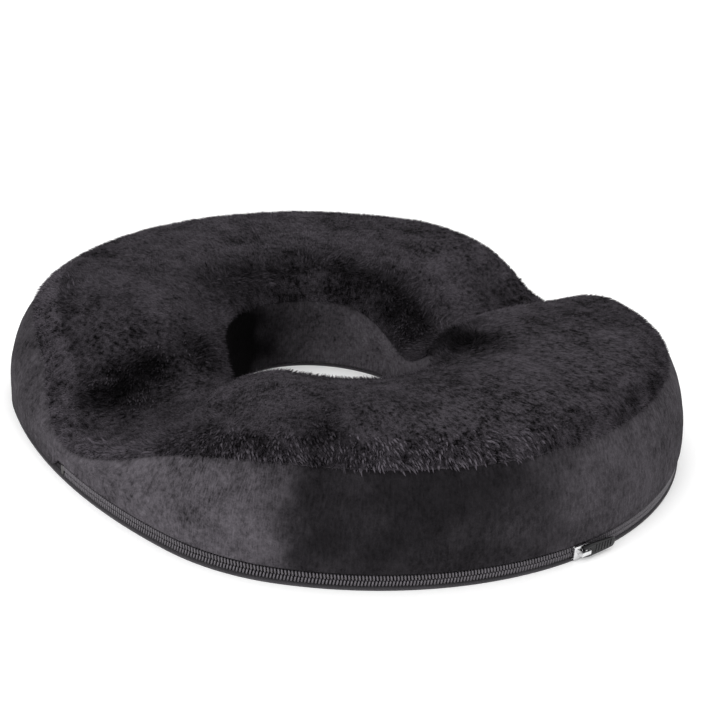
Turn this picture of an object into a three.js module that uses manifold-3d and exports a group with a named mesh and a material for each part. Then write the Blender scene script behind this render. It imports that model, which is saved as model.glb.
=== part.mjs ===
// An oval ring seat cushion: a shaped foam core in a zipped plush cover.
// Millimetres, +Z up. The origin is on the floor under the middle of the outline, +X is the
// sitter's right, -Y is the front edge. Two raised lobes lie left and right, and a trough runs
// from front to back through the hole.
import * as THREE from 'three';
import Module from 'manifold-3d';
import { mergeVertices } from 'three/addons/utils/BufferGeometryUtils.js';

// ---- outline seen from above: end arcs, shoulder arcs and side arcs ----
const HALF_LENGTH = 228.5;
const HALF_WIDTH = 210;
const END_ARC_RADIUS = 228.5;
const END_ARC_SPAN = 45 * Math.PI / 180;
const SHOULDER_RADIUS = 135;
const HOLE_HALF_LENGTH = 75;
const HOLE_HALF_WIDTH = 69;
const HOLE_CENTRE_Y = -14.5;

// ---- heights of the upholstered top ----
const LOBE_HEIGHT = 77;
// The trough's floor and half-width at the front edge, beside the hole and at the back edge.
const TROUGH_FLOOR = { front: 24.5, middle: 55, back: 40 };
const TROUGH_HALF_WIDTH = { front: 88, middle: 24, back: 45.5 };
const TROUGH_MIDDLE_Y = -60;
const TROUGH_SHARPNESS = 1.9;
// The lobes round down into the hole and over the outer edge.
const HOLE_ROUND_DROP = 23.5;
const HOLE_ROUND_WIDTH = 21;
const CROWN_DROP = 9.5;
const CROWN_WIDTH = 20;

// ---- outer wall, leaning in towards the top; a low wall leans less ----
const WALL_FOOT = 16;
const WALL_LEAN = 18;
const WALL_BULGE = 1;
const FULL_LEAN_HEIGHT = 30;

// ---- cloth and clearances ----
const PLUSH = 3;
const BAND = 2.5;
const BASE_CLOTH = 1.2;
const GAP = 0.3;
const THREAD = 0.6;

// ---- zipper along the foot of the wall, round the right-hand half ----
const ZIP_HALF_SPAN = Math.PI / 2;
const COIL_WIDTH = 2.5;
const COIL_THICKNESS = 1.85;
const COIL_SET_BACK = 0.65;
const COIL_SPLIT = 1.2;
const TAPE = 0.6;
const TAPE_OVERLAP = 5;
const FLANGE = 0.6;
const STOP_LENGTH = 3;

// ---- slider and pull tab ----
const SLIDER_LENGTH = 13;
const SLIDER_FRONT_PLATE = 1.6;
const SLIDER_BACK_PLATE = 0.7;
const BRIDGE_HEIGHT = 3.6;
const BRIDGE_BAR = 1.1;
const BRIDGE_SPAN = 7;
const TAB_LENGTH = 25;
const TAB_WIDTH = 8.5;

// ---- a plain round cushion, on which every section is drawn before it is shaped ----
const PLAIN_OUTER = 220;
const PLAIN_HOLE = 75;
const PLAIN_HEIGHT = 70;
const EDGE_MARGIN = 25;
const TOP_MARGIN = 7;
const STEPS = 72;
const STEP = 2 * Math.PI / STEPS;
const TAPE_HALF_SPAN = ZIP_HALF_SPAN + STEP;

// Levels worked out from the sizes above.
const SEAM_GAP = THREAD + 2 * GAP;
const BAND_FOOT = BASE_CLOTH + SEAM_GAP;
const FLANGE_LOW = BASE_CLOTH + GAP;
const COIL_LOW = FLANGE_LOW + FLANGE + GAP;
const COIL_HIGH = COIL_LOW + COIL_WIDTH + COIL_SPLIT;
const FLANGE_HIGH = COIL_HIGH + COIL_WIDTH + GAP;
const ZIP_TOP = FLANGE_HIGH + FLANGE + GAP;
const BAND_TOP = PLAIN_HEIGHT - PLUSH - SEAM_GAP;
const TAPE_FACE = BAND + GAP;
const TAPE_BACK = TAPE_FACE + TAPE;
const TAPE_TOP = ZIP_TOP + TAPE_OVERLAP;
const BACK_PLATE_FACE = TAPE_BACK + 1.5 * GAP;
const ZIP_CAVITY = BACK_PLATE_FACE + SLIDER_BACK_PLATE + GAP;

const wasm = await Module();
wasm.setup();

const cushion = new THREE.Group();
cushion.name = 'seat_cushion';

const FINISHES = {
  plush: { color: 0x4a474c, roughness: 0.95, metalness: 0 },
  base_cloth: { color: 0x2b2b2e, roughness: 0.9, metalness: 0 },
  foam: { color: 0xe9e2cc, roughness: 0.9, metalness: 0 },
  tape: { color: 0x3a393d, roughness: 0.85, metalness: 0 },
  coil: { color: 0x6a696d, roughness: 0.5, metalness: 0 },
  nickel: { color: 0xc9c9cc, roughness: 0.25, metalness: 1 },
  dark_metal: { color: 0x2a2a2d, roughness: 0.3, metalness: 0.9 },
  thread: { color: 0x39383c, roughness: 0.8, metalness: 0 },
};

function add(name, geometry, finish) {
  const mesh = new THREE.Mesh(geometry, new THREE.MeshStandardMaterial(FINISHES[finish]));
  mesh.name = name;
  cushion.add(mesh);
  return mesh;
}

// ---- outline: the point whose outward normal points at the angle psi ----

// The side arcs' radius makes them run smoothly into the shoulder arcs.
const endX = HALF_LENGTH - END_ARC_RADIUS;
const shoulderX = endX + (END_ARC_RADIUS - SHOULDER_RADIUS) * Math.cos(END_ARC_SPAN);
const shoulderY = (END_ARC_RADIUS - SHOULDER_RADIUS) * Math.sin(END_ARC_SPAN);
const rise = HALF_WIDTH - shoulderY;
const SIDE_RADIUS =
  (shoulderX ** 2 + rise ** 2 - SHOULDER_RADIUS ** 2) / (2 * (rise - SHOULDER_RADIUS));
const SIDE_ARC_START = Math.atan2(shoulderY + SIDE_RADIUS - HALF_WIDTH, shoulderX);

function outerPoint(psi) {
  const x = Math.abs(Math.cos(psi));
  const y = Math.abs(Math.sin(psi));
  const turn = Math.atan2(y, x);
  let centre = [endX, 0];
  let radius = END_ARC_RADIUS;
  if (turn > SIDE_ARC_START) {
    centre = [0, HALF_WIDTH - SIDE_RADIUS];
    radius = SIDE_RADIUS;
  } else if (turn > END_ARC_SPAN) {
    centre = [shoulderX, shoulderY];
    radius = SHOULDER_RADIUS;
  }
  const px = Math.sign(Math.cos(psi)) * (centre[0] + radius * x);
  const py = Math.sign(Math.sin(psi)) * (centre[1] + radius * y);
  return new THREE.Vector2(px, py);
}

function holePoint(psi) {
  const a = HOLE_HALF_LENGTH ** 2 * Math.cos(psi);
  const b = HOLE_HALF_WIDTH ** 2 * Math.sin(psi);
  const reach = Math.hypot(HOLE_HALF_LENGTH * Math.cos(psi), HOLE_HALF_WIDTH * Math.sin(psi));
  return new THREE.Vector2(a / reach, b / reach + HOLE_CENTRE_Y);
}

// ---- height of the finished top at x, y, with the inset from the outer edge ----
function alongTrough(sizes, y) {
  const toMiddle = THREE.MathUtils.smoothstep(y, -HALF_WIDTH, TROUGH_MIDDLE_Y);
  const toBack = THREE.MathUtils.smoothstep(y, TROUGH_MIDDLE_Y, HALF_WIDTH);
  const front = THREE.MathUtils.lerp(sizes.front, sizes.middle, toMiddle);
  return front + (sizes.back - sizes.middle) * toBack;
}

function topHeight(x, y, inset) {
  const floor = alongTrough(TROUGH_FLOOR, y);
  const width = alongTrough(TROUGH_HALF_WIDTH, y);
  const inTrough = Math.exp(-(Math.abs(x / width) ** TROUGH_SHARPNESS));
  const trough = (LOBE_HEIGHT - floor) * inTrough;
  const fromHole = Math.hypot(x / HOLE_HALF_LENGTH, (y - HOLE_CENTRE_Y) / HOLE_HALF_WIDTH);
  const outside = Math.max(fromHole - 1, 0) * HOLE_HALF_WIDTH;
  const holeRound = HOLE_ROUND_DROP * Math.exp(-outside / HOLE_ROUND_WIDTH);
  const crown = CROWN_DROP * (1 - inTrough) * Math.max(1 - inset / CROWN_WIDTH, 0) ** 2;
  return LOBE_HEIGHT - trough - holeRound - crown;
}

// ---- shaping: from the plain round cushion (turn psi, radius, height) to the real one ----
function shaped(psi, radius, height) {
  const fromHole = radius - PLAIN_HOLE;
  const inset = PLAIN_OUTER - radius;
  const normal = new THREE.Vector2(Math.cos(psi), Math.sin(psi));
  const span = PLAIN_OUTER - PLAIN_HOLE - 2 * EDGE_MARGIN;
  const across = THREE.MathUtils.clamp((fromHole - EDGE_MARGIN) / span, 0, 1);
  const inner = holePoint(psi).addScaledVector(normal, Math.min(fromHole, EDGE_MARGIN));
  const outer = outerPoint(psi).addScaledVector(normal, -Math.min(inset, EDGE_MARGIN));
  const flat = inner.lerp(outer, across);
  const top = topHeight(flat.x, flat.y, inset);

  let z = height;
  if (height > PLAIN_HEIGHT - TOP_MARGIN) {
    z = top - (PLAIN_HEIGHT - height);
  } else if (height > WALL_FOOT) {
    const climb = (height - WALL_FOOT) / (PLAIN_HEIGHT - TOP_MARGIN - WALL_FOOT);
    z = THREE.MathUtils.lerp(WALL_FOOT, top - TOP_MARGIN, climb);
  }

  const up = Math.max((z - WALL_FOOT) / (top - WALL_FOOT), 0);
  const lean = WALL_BULGE * Math.sin(Math.PI * up) - WALL_LEAN * up ** 2;
  const share = Math.min((top - WALL_FOOT) / FULL_LEAN_HEIGHT, 1);
  flat.addScaledVector(normal, lean * share * across);
  return new THREE.Vector3(flat.x, flat.y, z);
}

// A closed section [radius, height] turned round the hole and shaped. Every point may give its
// height as a function of the turn.
function ring(section) {
  const heights = section.map(([, height]) => height);
  const profile = section.map(([radius], i) => new THREE.Vector2(radius, i));
  profile.push(profile[0].clone());
  const geometry = new THREE.LatheGeometry(profile, STEPS);
  const place = geometry.attributes.position;
  for (let i = 0; i < place.count; i += 1) {
    const psi = Math.round(Math.atan2(place.getX(i), place.getZ(i)) / STEP) * STEP;
    const radius = Math.hypot(place.getX(i), place.getZ(i));
    const height = heights[Math.round(place.getY(i))];
    const level = typeof height === 'function' ? height(psi) : height;
    const point = shaped(psi, radius, level);
    place.setXYZ(i, point.x, point.y, point.z);
  }
  matchDiagonals(geometry, profile.length, section);
  geometry.computeVertexNormals();
  return geometry;
}

// Faces that look at each other across a gap need their diagonals the same way round, so the
// quads of an under or inner face are split along the other diagonal.
function matchDiagonals(geometry, points, section) {
  const flat = (height) => (typeof height === 'function' ? height(0) : height);
  const index = [];
  for (let i = 0; i < STEPS; i += 1) {
    for (let j = 0; j < section.length; j += 1) {
      const [radius, height] = section[j];
      const [nextRadius, nextHeight] = section[(j + 1) % section.length];
      const outwards = nextRadius > radius;
      const downwards = nextRadius === radius && flat(nextHeight) < flat(height);
      const a = i * points + j;
      const b = a + points;
      if (outwards || downwards) {
        index.push(a, b, b + 1, a, b + 1, a + 1);
      } else {
        index.push(a, b, a + 1, b + 1, a + 1, b);
      }
    }
  }
  geometry.setIndex(index);
}

// A closed section [inset, height] run along the wall from one turn to another and shaped.
function strip(section, from, to) {
  const shape = new THREE.Shape(section.map(([inset, height]) => new THREE.Vector2(-inset, height)));
  const steps = Math.max(1, Math.round((to - from) / STEP));
  const geometry = new THREE.ExtrudeGeometry(shape, { depth: 1, steps, bevelEnabled: false });
  const place = geometry.attributes.position;
  for (let i = 0; i < place.count; i += 1) {
    const psi = THREE.MathUtils.lerp(to, from, place.getZ(i));
    const point = shaped(psi, PLAIN_OUTER + place.getX(i), place.getY(i));
    place.setXYZ(i, point.x, point.y, point.z);
  }
  geometry.computeVertexNormals();
  return geometry;
}

function box(x0, x1, y0, y1, z0, z1) {
  const geometry = new THREE.BoxGeometry(x1 - x0, y1 - y0, z1 - z0);
  return geometry.translate((x0 + x1) / 2, (y0 + y1) / 2, (z0 + z1) / 2);
}

function toSolid(geometry) {
  const bare = geometry.clone();
  bare.deleteAttribute('normal');
  bare.deleteAttribute('uv');
  const merged = mergeVertices(bare);
  return new wasm.Manifold(new wasm.Mesh({
    numProp: 3,
    vertProperties: new Float32Array(merged.attributes.position.array),
    triVerts: new Uint32Array(merged.index.array),
  }));
}

function toGeometry(solid) {
  const mesh = solid.getMesh();
  const geometry = new THREE.BufferGeometry();
  geometry.setAttribute('position', new THREE.BufferAttribute(mesh.vertProperties, 3));
  geometry.setIndex(new THREE.BufferAttribute(mesh.triVerts, 1));
  geometry.computeVertexNormals();
  return geometry;
}

// ---- sections on the plain cushion ----
const WALL_LEVELS = [WALL_FOOT, 30, 44, 56, PLAIN_HEIGHT - TOP_MARGIN];
const foamOuter = PLAIN_OUTER - BAND - GAP;
const foamHole = PLAIN_HOLE + BAND + GAP;
const TOP_RADII = [foamOuter, 212, 205, 196, 178, 155, 133, 114, 99, 88, 81, foamHole];

// ---- foam core ----
const foamTop = PLAIN_HEIGHT - PLUSH - GAP;
const foamBase = BASE_CLOTH + GAP;
add('foam_core', ring([
  [foamHole, foamBase],
  [PLAIN_OUTER - ZIP_CAVITY, foamBase],
  [PLAIN_OUTER - ZIP_CAVITY, TAPE_TOP + GAP],
  ...WALL_LEVELS.slice(1).map((level) => [foamOuter, level]),
  [foamOuter, BAND_TOP],
  ...TOP_RADII.map((radius) => [radius, foamTop]),
  [foamHole, 35],
]), 'foam');

// ---- cover panels ----
const threadInset = 2 * GAP;
const outerThread = PLAIN_OUTER - threadInset - THREAD;
const holeThread = PLAIN_HOLE + threadInset;
const undersideRadii = [
  PLAIN_HOLE, holeThread, holeThread + THREAD,
  ...TOP_RADII.slice().reverse(),
  outerThread, outerThread + THREAD, PLAIN_OUTER,
];
add('cover_top_panel', ring([
  ...undersideRadii.map((radius) => [radius, PLAIN_HEIGHT - PLUSH]),
  [PLAIN_OUTER, PLAIN_HEIGHT],
  ...TOP_RADII.map((radius) => [radius, PLAIN_HEIGHT]),
  [PLAIN_HOLE, PLAIN_HEIGHT],
]), 'plush');

// The band stops above the zipper on the right-hand half and runs down to the base elsewhere.
const bandFoot = (psi) => (Math.abs(psi) < TAPE_HALF_SPAN + STEP / 2 ? ZIP_TOP : BAND_FOOT);
const bandInside = PLAIN_OUTER - BAND;
add('cover_side_band', ring([
  [bandInside, bandFoot],
  [PLAIN_OUTER, bandFoot],
  ...WALL_LEVELS.map((level) => [PLAIN_OUTER, level]),
  [PLAIN_OUTER, BAND_TOP],
  [outerThread + THREAD, BAND_TOP],
  [outerThread, BAND_TOP],
  [bandInside, BAND_TOP],
  ...WALL_LEVELS.slice().reverse().map((level) => [bandInside, level]),
]), 'plush');

const holeBandBack = PLAIN_HOLE + BAND;
add('cover_hole_band', ring([
  [PLAIN_HOLE, BAND_FOOT],
  [holeBandBack, BAND_FOOT],
  [holeBandBack, 35],
  [holeBandBack, BAND_TOP],
  [holeThread + THREAD, BAND_TOP],
  [holeThread, BAND_TOP],
  [PLAIN_HOLE, BAND_TOP],
  [PLAIN_HOLE, 35],
]), 'plush');

add('cover_base_panel', ring([
  [PLAIN_HOLE, 0],
  [PLAIN_OUTER, 0],
  [PLAIN_OUTER, BASE_CLOTH],
  [PLAIN_HOLE, BASE_CLOTH],
]), 'base_cloth');

// ---- seam threads, each in the joint between two panels ----
function threadSection(radius, level) {
  return [
    [radius, level],
    [radius + THREAD, level],
    [radius + THREAD, level + THREAD],
    [radius, level + THREAD],
  ];
}
add('thread_top_edge', ring(threadSection(outerThread, BAND_TOP + GAP)), 'thread');
add('thread_hole_top', ring(threadSection(holeThread, BAND_TOP + GAP)), 'thread');
add('thread_hole_base', ring(threadSection(holeThread, BASE_CLOTH + GAP)), 'thread');

function stripSection(inset, depth, low, high) {
  return [[inset + depth, low], [inset, low], [inset, high], [inset + depth, high]];
}
const leftFrom = TAPE_HALF_SPAN + STEP;
add('thread_base_edge', strip(
  stripSection(threadInset, THREAD, BASE_CLOTH + GAP, BASE_CLOTH + GAP + THREAD),
  leftFrom, 2 * Math.PI - leftFrom), 'thread');

// ---- zipper tapes, with their sewing on the inside face ----
const zipFrom = -TAPE_HALF_SPAN;
const zipTo = TAPE_HALF_SPAN;
const tapeSplit = COIL_SPLIT / 2 - GAP / 2;
const splitLevel = COIL_LOW + COIL_WIDTH + COIL_SPLIT / 2;
add('zipper_upper_tape', strip(
  stripSection(TAPE_FACE, TAPE, splitLevel + tapeSplit, TAPE_TOP), zipFrom, zipTo), 'tape');
add('zipper_lower_tape', strip(
  stripSection(TAPE_FACE, TAPE, BASE_CLOTH + GAP, splitLevel - tapeSplit), zipFrom, zipTo), 'tape');
const sewingFace = TAPE_BACK + GAP;
const upperSewing = ZIP_TOP + 1;
add('zipper_upper_sewing', strip(
  stripSection(sewingFace, THREAD, upperSewing, upperSewing + THREAD), zipFrom, zipTo), 'thread');
add('zipper_lower_sewing', strip(
  stripSection(sewingFace, THREAD, BASE_CLOTH + GAP, BASE_CLOTH + GAP + THREAD),
  zipFrom, zipTo), 'thread');

// ---- zipper coils, rounded on the outside ----
function coilSection(low) {
  const back = COIL_SET_BACK + COIL_THICKNESS;
  const shoulderDepth = COIL_SET_BACK + COIL_THICKNESS * 0.35;
  return [
    [back, low],
    [shoulderDepth, low],
    [COIL_SET_BACK, low + COIL_WIDTH * 0.3],
    [COIL_SET_BACK, low + COIL_WIDTH * 0.7],
    [shoulderDepth, low + COIL_WIDTH],
    [back, low + COIL_WIDTH],
  ];
}
add('zipper_upper_coil', strip(coilSection(COIL_HIGH), -ZIP_HALF_SPAN, ZIP_HALF_SPAN), 'coil');
add('zipper_lower_coil', strip(coilSection(COIL_LOW), -ZIP_HALF_SPAN, ZIP_HALF_SPAN), 'coil');

// ---- end stops across both coils ----
const stopSection = stripSection(
  COIL_SET_BACK, COIL_THICKNESS, COIL_LOW, COIL_HIGH + COIL_WIDTH);
const stopFrom = ZIP_HALF_SPAN + GAP / SIDE_RADIUS;
const stopTo = stopFrom + STOP_LENGTH / SIDE_RADIUS;
add('zipper_front_stop', strip(stopSection, -stopTo, -stopFrom), 'nickel');
add('zipper_back_stop', strip(stopSection, stopFrom, stopTo), 'nickel');

// ---- slider: two plates, side flanges, a post between the coils and a bridge for the tab ----
const face = HALF_LENGTH;
const plateInside = face - COIL_SET_BACK + GAP;
const plateOutside = plateInside + SLIDER_FRONT_PLATE;
const backPlateFace = face - BACK_PLATE_FACE;
const coilBack = face - COIL_SET_BACK - COIL_THICKNESS;
const half = SLIDER_LENGTH / 2;
const sliderLow = FLANGE_LOW;
const sliderHigh = FLANGE_HIGH + FLANGE;
const sliderMiddle = (sliderLow + sliderHigh) / 2;

function platePlan(nose) {
  const plan = new THREE.Shape();
  const height = sliderHigh - sliderLow;
  plan.moveTo(-half, 1);
  plan.lineTo(-half, height - 1);
  plan.quadraticCurveTo(-half, height, -half + 1, height);
  plan.lineTo(half - nose, height);
  plan.quadraticCurveTo(half, height, half, height / 2);
  plan.quadraticCurveTo(half, 0, half - nose, 0);
  plan.lineTo(-half + 1, 0);
  plan.quadraticCurveTo(-half, 0, -half, 1);
  return plan;
}

// A plate drawn along the zipper and up, given its thickness outwards.
function plate(plan, inside, thickness, low) {
  const options = { depth: thickness, bevelEnabled: false, curveSegments: 4 };
  const geometry = new THREE.ExtrudeGeometry(plan, options);
  geometry.rotateX(Math.PI / 2);
  geometry.rotateZ(Math.PI / 2);
  return geometry.translate(inside, 0, low);
}

const frontPlate = toSolid(plate(platePlan(3), plateInside, SLIDER_FRONT_PLATE, sliderLow));
const backLow = BASE_CLOTH + GAP + THREAD + GAP;
const backPlate = box(
  backPlateFace - SLIDER_BACK_PLATE, backPlateFace, -half, half, backLow, sliderHigh);
const lowFlange = box(coilBack, plateInside + 0.2, -half, half - 3, sliderLow, sliderLow + FLANGE);
const highFlange = box(
  coilBack, plateInside + 0.2, -half, half - 3, sliderHigh - FLANGE, sliderHigh);
const postHalf = COIL_SPLIT / 2 - GAP;
const post = box(
  backPlateFace - 0.2, plateInside + 0.2, half - 5, half - 1,
  splitLevel - postHalf, splitLevel + postHalf);

const bridgeFrom = -BRIDGE_SPAN / 2;
const bridgeTo = BRIDGE_SPAN / 2;
const bridgeTop = plateOutside + BRIDGE_HEIGHT;
const bridgeHalf = 1.2;
const bridgeBlock = box(
  plateOutside - 0.2, bridgeTop, bridgeFrom, bridgeTo,
  sliderMiddle - bridgeHalf, sliderMiddle + bridgeHalf);
const bridgeEye = box(
  plateOutside, bridgeTop - BRIDGE_BAR, bridgeFrom + BRIDGE_BAR, bridgeTo - BRIDGE_BAR,
  sliderMiddle - bridgeHalf - 1, sliderMiddle + bridgeHalf + 1);
const bridge = toSolid(bridgeBlock).subtract(toSolid(bridgeEye));
const slider = [backPlate, lowFlange, highFlange, post].reduce(
  (whole, piece) => whole.add(toSolid(piece)), frontPlate.add(bridge));
add('zipper_slider', toGeometry(slider), 'nickel');

// ---- pull tab: an eye round the bridge, then a tapering tongue along the zipper ----
const eyeCentre = (plateOutside + bridgeTop - BRIDGE_BAR) / 2;
// Half the tab's thickness: its square pin turns in the bridge with the gap to spare.
const eyePin = (eyeCentre - plateOutside - GAP) / Math.SQRT2;
const tabInner = bridgeHalf + GAP;
const tabOuter = TAB_WIDTH / 2;
const windowEnd = bridgeTo + GAP + 0.6;

const tongue = new THREE.Shape();
tongue.moveTo(-eyePin, -tabOuter + 1);
tongue.lineTo(windowEnd, -tabOuter);
tongue.lineTo(TAB_LENGTH - 4, -tabOuter * 0.8);
tongue.quadraticCurveTo(TAB_LENGTH, -tabOuter * 0.8, TAB_LENGTH, 0);
tongue.quadraticCurveTo(TAB_LENGTH, tabOuter * 0.8, TAB_LENGTH - 4, tabOuter * 0.8);
tongue.lineTo(windowEnd, tabOuter);
tongue.lineTo(-eyePin, tabOuter - 1);
tongue.closePath();
const opening = new THREE.Path();
opening.moveTo(eyePin, -tabInner);
opening.lineTo(eyePin, tabInner);
opening.lineTo(windowEnd, tabInner);
opening.lineTo(windowEnd, -tabInner);
opening.closePath();
tongue.holes.push(opening);
const tabPlate = plate(tongue, eyeCentre - eyePin, 2 * eyePin, sliderMiddle);
add('zipper_pull_tab', tabPlate, 'dark_metal');

export default cushion;
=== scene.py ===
# %% [markdown]
# # An oval ring seat cushion
#
# The real thing is a ring of soft foam inside a zipped plush cover. Two raised lobes lie left
# and right, a trough runs from front to back through the hole, and a coil zipper runs along the
# foot of the right-hand half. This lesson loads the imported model, which fixes every size and
# every moving part, and then makes each piece again with the detail of real cloth and metal.

import math

import bmesh
import bpy
import numpy as np
from mathutils import Matrix, Vector, kdtree, noise


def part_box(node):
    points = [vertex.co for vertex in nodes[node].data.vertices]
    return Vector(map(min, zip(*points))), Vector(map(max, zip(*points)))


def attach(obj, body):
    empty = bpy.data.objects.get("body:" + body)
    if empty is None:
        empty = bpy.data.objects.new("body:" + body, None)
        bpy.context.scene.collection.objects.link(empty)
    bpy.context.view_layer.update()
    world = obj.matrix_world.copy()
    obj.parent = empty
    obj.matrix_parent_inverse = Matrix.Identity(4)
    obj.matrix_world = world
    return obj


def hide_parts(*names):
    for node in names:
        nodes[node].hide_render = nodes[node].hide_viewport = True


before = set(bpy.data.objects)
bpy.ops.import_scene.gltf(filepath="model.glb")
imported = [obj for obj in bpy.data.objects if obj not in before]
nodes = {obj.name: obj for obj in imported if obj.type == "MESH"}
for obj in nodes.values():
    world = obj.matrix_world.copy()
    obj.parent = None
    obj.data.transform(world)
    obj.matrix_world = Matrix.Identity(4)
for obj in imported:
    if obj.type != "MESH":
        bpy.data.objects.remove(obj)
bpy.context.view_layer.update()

MM = 0.001


def link(name, data):
    """A new object in the scene that shows data."""
    made = bpy.data.objects.new(name, data)
    bpy.context.collection.objects.link(made)
    return made


def evaluated(piece):
    """A plain mesh of the piece with its modifiers applied."""
    graph = bpy.context.evaluated_depsgraph_get()
    return bpy.data.meshes.new_from_object(piece.evaluated_get(graph))


# %% [markdown]
# ## Camera, floor and light
#
# A dark cushion is shown on a white sweep under broad, soft light, so that the pile keeps its
# detail. A big pale floor, a white surrounding and three large lamps give that. One lamp stands
# low in front, because the wall is lighter than the top.

# %% Camera
CAMERA_TURN = 0.903
CAMERA_RISE = 0.407
CAMERA_ROLL = 0.069
CAMERA_DISTANCE = 1.016344
CAMERA_TARGET = Vector((-0.073652, 0.062041, 0))
LENS = 68.79
SENSOR_WIDTH = 36

level = math.cos(CAMERA_RISE)
backwards = Vector((math.sin(CAMERA_TURN) * level, -math.cos(CAMERA_TURN) * level,
                    math.sin(CAMERA_RISE)))
sideways = (-backwards).cross(Vector((0, 0, 1))).normalized()
upwards = sideways.cross(-backwards)
rolled_side = sideways * math.cos(CAMERA_ROLL) + upwards * math.sin(CAMERA_ROLL)
rolled_up = upwards * math.cos(CAMERA_ROLL) - sideways * math.sin(CAMERA_ROLL)
lens = bpy.data.cameras.new("camera")
lens.lens = LENS
lens.sensor_width = SENSOR_WIDTH
camera = link("camera", lens)
place = Matrix((rolled_side, rolled_up, backwards)).transposed().to_4x4()
place.translation = CAMERA_TARGET + backwards * CAMERA_DISTANCE
camera.matrix_world = place
bpy.context.scene.camera = camera

# %% Helpers for materials


def put(tree, kind, settings=None, **sockets):
    """Adds a node. A socket given another node's output is linked, and a plain value is set.
    A key such as i0 names a socket by its number."""
    made = tree.nodes.new(kind)
    for key, value in (settings or {}).items():
        setattr(made, key, value)
    for key, value in sockets.items():
        if key[0] == "i" and key[1:].isdigit():
            socket = made.inputs[int(key[1:])]
        else:
            socket = made.inputs[key.replace("_", " ")]
        if isinstance(value, bpy.types.NodeSocket):
            tree.links.new(value, socket)
        else:
            socket.default_value = value
    return made


def start_material(name, **surface):
    """A new material with its Principled surface. Returns (material, tree, surface)."""
    material = bpy.data.materials.new(name)
    material.use_nodes = True
    tree = material.node_tree
    shader = tree.nodes["Principled BSDF"]
    for key, value in surface.items():
        shader.inputs[key.replace("_", " ")].default_value = value
    return material, tree, shader


def noise_at(tree, place, scale, detail, stretch):
    mapped = put(tree, "ShaderNodeMapping", Vector=place, Scale=stretch).outputs[0]
    made = put(tree, "ShaderNodeTexNoise", Vector=mapped, Scale=scale, Detail=detail)
    return made.outputs["Fac"]


def object_noise(tree, scale, detail=2.0, stretch=(1, 1, 1)):
    """Noise on the piece's own Object coordinates. stretch squeezes it along an axis."""
    place = put(tree, "ShaderNodeTexCoord").outputs["Object"]
    return noise_at(tree, place, scale, detail, stretch)


def uv_noise(tree, along, over, detail=2.0):
    """Noise on the piece's UV map in metres, with its own scale along and over the piece."""
    place = put(tree, "ShaderNodeUVMap", {"uv_map": "lay"}).outputs[0]
    return noise_at(tree, place, 1.0, detail, (along, over, 1))


def combine(tree, operation, a, b, clamp=False):
    """A Math node on two values or sockets."""
    return put(tree, "ShaderNodeMath", {"operation": operation, "use_clamp": clamp},
               i0=a, i1=b).outputs[0]


def weigh(tree, *pairs):
    """The sum of (socket, weight) pairs. Each socket counts from its middle, one half."""
    total = 0.5
    for socket, weight in pairs:
        share = combine(tree, "MULTIPLY", combine(tree, "SUBTRACT", socket, 0.5), weight)
        total = combine(tree, "ADD", share, total)
    return combine(tree, "ADD", total, 0.0, clamp=True)


def colour_between(tree, shader, factor, dark, light):
    """Colours the surface from dark, where factor is 0, to light, where it is 1."""
    ramp = tree.nodes.new("ShaderNodeValToRGB")
    ramp.color_ramp.elements[0].color = (*dark, 1)
    ramp.color_ramp.elements[1].color = (*light, 1)
    tree.links.new(factor, ramp.inputs[0])
    tree.links.new(ramp.outputs[0], shader.inputs["Base Color"])


def bump(tree, shader, height, strength, distance):
    made = put(tree, "ShaderNodeBump", Height=height, Strength=strength, Distance=distance)
    tree.links.new(made.outputs[0], shader.inputs["Normal"])


# %% Floor and light
FLOOR_HALF = 9
floor_mesh = bpy.data.meshes.new("floor")
corners = [(x * FLOOR_HALF, y * FLOOR_HALF, 0) for x, y in ((-1, -1), (1, -1), (1, 1), (-1, 1))]
floor_mesh.from_pydata(corners, [], [(0, 1, 2, 3)])
paper, _, _ = start_material("white paper", Base_Color=(0.97, 0.97, 0.97, 1), Roughness=0.9,
                             Specular_IOR_Level=0.1, Emission_Color=(1, 1, 1, 1),
                             Emission_Strength=0.12)
floor_mesh.materials.append(paper)
link("floor", floor_mesh)

world = bpy.data.worlds.new("white room")
world.use_nodes = True
background = world.node_tree.nodes["Background"]
background.inputs["Color"].default_value = (1, 1, 1, 1)
background.inputs["Strength"].default_value = 1.0
bpy.context.scene.world = world
bpy.context.scene.view_settings.view_transform = "Standard"


def lamp(name, spot, size, power):
    """A square soft lamp at spot, turned to face the cushion."""
    light = bpy.data.lights.new(name, "AREA")
    light.size = size
    light.energy = power
    made = link(name, light)
    made.location = spot
    made.rotation_euler = (-Vector(spot)).to_track_quat("-Z", "Y").to_euler()


lamp("front lamp", (0.3, -1.8, 0.9), 1.2, 16)
lamp("right lamp", (1.9, 0.3, 1.2), 1.2, 3)
lamp("overhead lamp", (-0.4, 0.6, 2.2), 1.6, 9)

# %% [markdown]
# ## The cushion's shape as a rule
#
# The ring isn't round and its top isn't flat, so every piece of cloth is first drawn as a plain
# section on a round ring and then shaped by one rule: the outline seen from above, the height
# of the top at each place, and the lean of the wall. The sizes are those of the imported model,
# in millimetres. NumPy works on whole grids of points at once. LAY_RADIUS turns angles into
# lengths along the ring for the UV map.

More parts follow.
